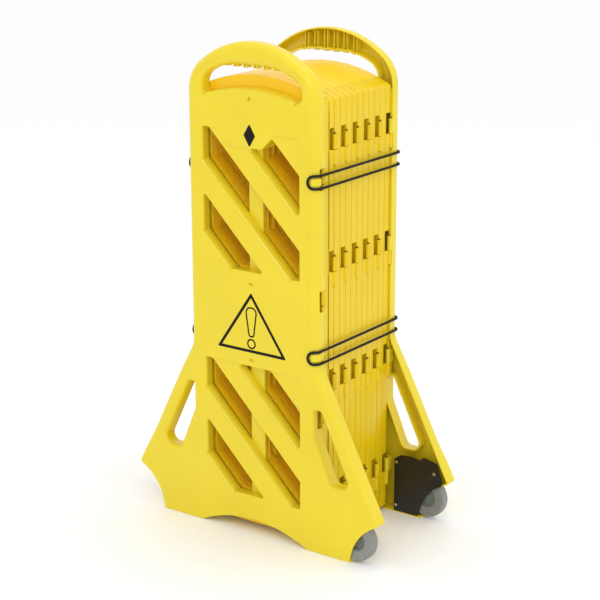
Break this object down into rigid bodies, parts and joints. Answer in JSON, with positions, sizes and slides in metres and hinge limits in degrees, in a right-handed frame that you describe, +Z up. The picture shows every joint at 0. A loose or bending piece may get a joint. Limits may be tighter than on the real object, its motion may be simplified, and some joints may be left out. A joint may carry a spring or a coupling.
{
  "type": "portable folding crowd control barrier",
  "caption": "Accordion-folding plastic barrier: slatted panels hinged edge to edge between two footed end panels with handles, grip slots, wheels and elastic cords.",
  "frame": {"origin": "centre of the overall box on the floor plane", "axes": "+X to the right along the front end panel, +Y from the front end panel to the rear end panel, +Z up"},
  "size_m": [0.6066, 0.3055, 1.016],
  "materials": {
    "shell_plastic": "smooth glossy moulded polyethylene",
    "panel_plastic": "smooth satin moulded polyethylene",
    "pin_steel": "bright zinc plated",
    "tyre": "smooth grey non-marking rubber",
    "hub": "moulded grey-green plastic",
    "black_plastic": "satin black",
    "cord": "woven sleeve over elastic",
    "print": "printed black"
  },
  "bodies": {
    "front_end": {"front_end_panel": "shell_plastic", "hinge_pins_00": "pin_steel", "front_axle": "pin_steel", "front_cover_plate": "black_plastic", "front_plate_screws": "pin_steel", "front_warning_sign": "print", "front_badge": "print"},
    "front_wheel": {"front_tyre": "tyre", "front_hub": "hub"},
    "rear_wheel": {"rear_tyre": "tyre", "rear_hub": "hub"},
    "fold_01": {"panel_01": "panel_plastic", "hinge_pins_01": "pin_steel"},
    "fold_02": {"panel_02": "panel_plastic", "hinge_pins_02": "pin_steel"},
    "fold_03": {"panel_03": "panel_plastic", "hinge_pins_03": "pin_steel"},
    "fold_04": {"panel_04": "panel_plastic", "hinge_pins_04": "pin_steel"},
    "fold_05": {"panel_05": "panel_plastic", "hinge_pins_05": "pin_steel"},
    "fold_06": {"panel_06": "panel_plastic", "hinge_pins_06": "pin_steel"},
    "fold_07": {"panel_07": "panel_plastic", "hinge_pins_07": "pin_steel"},
    "fold_08": {"panel_08": "panel_plastic", "hinge_pins_08": "pin_steel"},
    "fold_09": {"panel_09": "panel_plastic", "hinge_pins_09": "pin_steel"},
    "fold_10": {"panel_10": "panel_plastic", "hinge_pins_10": "pin_steel"},
    "fold_11": {"panel_11": "panel_plastic", "hinge_pins_11": "pin_steel"},
    "fold_12": {"panel_12": "panel_plastic", "hinge_pins_12": "pin_steel"},
    "rear_end": {"rear_end_panel": "shell_plastic", "rear_axle": "pin_steel", "rear_cover_plate": "black_plastic", "rear_plate_screws": "pin_steel", "rear_warning_sign": "print", "rear_badge": "print", "cord_upper_right": "cord", "cord_lower_right": "cord", "cord_upper_left": "cord", "cord_lower_left": "cord"}
  },
  "joints": [
    {"name": "unfold", "type": "hinge", "parent": "front_end", "child": "fold_01", "pos_m": [0.1525, -0.1188, 0.5], "axis": [0, 0, -1], "range_deg": [0, 90], "deforming": ["cord_upper_right", "cord_lower_right", "cord_upper_left", "cord_lower_left"]},
    {"name": "hinge_01", "type": "hinge", "parent": "fold_01", "child": "fold_02", "pos_m": [-0.1525, -0.099, 0.5], "axis": [0, 0, 1], "range_deg": [0, 180]},
    {"name": "hinge_02", "type": "hinge", "parent": "fold_02", "child": "fold_03", "pos_m": [0.1525, -0.0792, 0.5], "axis": [0, 0, -1], "range_deg": [0, 180]},
    {"name": "hinge_03", "type": "hinge", "parent": "fold_03", "child": "fold_04", "pos_m": [-0.1525, -0.0594, 0.5], "axis": [0, 0, 1], "range_deg": [0, 180]},
    {"name": "hinge_04", "type": "hinge", "parent": "fold_04", "child": "fold_05", "pos_m": [0.1525, -0.0396, 0.5], "axis": [0, 0, -1], "range_deg": [0, 180]},
    {"name": "hinge_05", "type": "hinge", "parent": "fold_05", "child": "fold_06", "pos_m": [-0.1525, -0.0198, 0.5], "axis": [0, 0, 1], "range_deg": [0, 180]},
    {"name": "hinge_06", "type": "hinge", "parent": "fold_06", "child": "fold_07", "pos_m": [0.1525, 0, 0.5], "axis": [0, 0, -1], "range_deg": [0, 180]},
    {"name": "hinge_07", "type": "hinge", "parent": "fold_07", "child": "fold_08", "pos_m": [-0.1525, 0.0198, 0.5], "axis": [0, 0, 1], "range_deg": [0, 180]},
    {"name": "hinge_08", "type": "hinge", "parent": "fold_08", "child": "fold_09", "pos_m": [0.1525, 0.0396, 0.5], "axis": [0, 0, -1], "range_deg": [0, 180]},
    {"name": "hinge_09", "type": "hinge", "parent": "fold_09", "child": "fold_10", "pos_m": [-0.1525, 0.0594, 0.5], "axis": [0, 0, 1], "range_deg": [0, 180]},
    {"name": "hinge_10", "type": "hinge", "parent": "fold_10", "child": "fold_11", "pos_m": [0.1525, 0.0792, 0.5], "axis": [0, 0, -1], "range_deg": [0, 180]},
    {"name": "hinge_11", "type": "hinge", "parent": "fold_11", "child": "fold_12", "pos_m": [-0.1525, 0.099, 0.5], "axis": [0, 0, 1], "range_deg": [0, 180]},
    {"name": "hinge_12", "type": "hinge", "parent": "fold_12", "child": "rear_end", "pos_m": [0.1525, 0.1188, 0.5], "axis": [0, 0, -1], "range_deg": [0, 90]},
    {"name": "front_wheel_spin", "type": "hinge", "parent": "front_end", "child": "front_wheel", "pos_m": [0.249, -0.1348, 0.048], "axis": [0, 1, 0], "continuous": true},
    {"name": "rear_wheel_spin", "type": "hinge", "parent": "rear_end", "child": "rear_wheel", "pos_m": [0.249, 0.1348, 0.048], "axis": [0, 1, 0], "continuous": true}
  ],
  "couplings": [
    {"joint": "hinge_01", "follows": "unfold", "ratio": 2},
    {"joint": "hinge_02", "follows": "unfold", "ratio": 2},
    {"joint": "hinge_03", "follows": "unfold", "ratio": 2},
    {"joint": "hinge_04", "follows": "unfold", "ratio": 2},
    {"joint": "hinge_05", "follows": "unfold", "ratio": 2},
    {"joint": "hinge_06", "follows": "unfold", "ratio": 2},
    {"joint": "hinge_07", "follows": "unfold", "ratio": 2},
    {"joint": "hinge_08", "follows": "unfold", "ratio": 2},
    {"joint": "hinge_09", "follows": "unfold", "ratio": 2},
    {"joint": "hinge_10", "follows": "unfold", "ratio": 2},
    {"joint": "hinge_11", "follows": "unfold", "ratio": 2},
    {"joint": "hinge_12", "follows": "unfold", "ratio": 1}
  ]
}
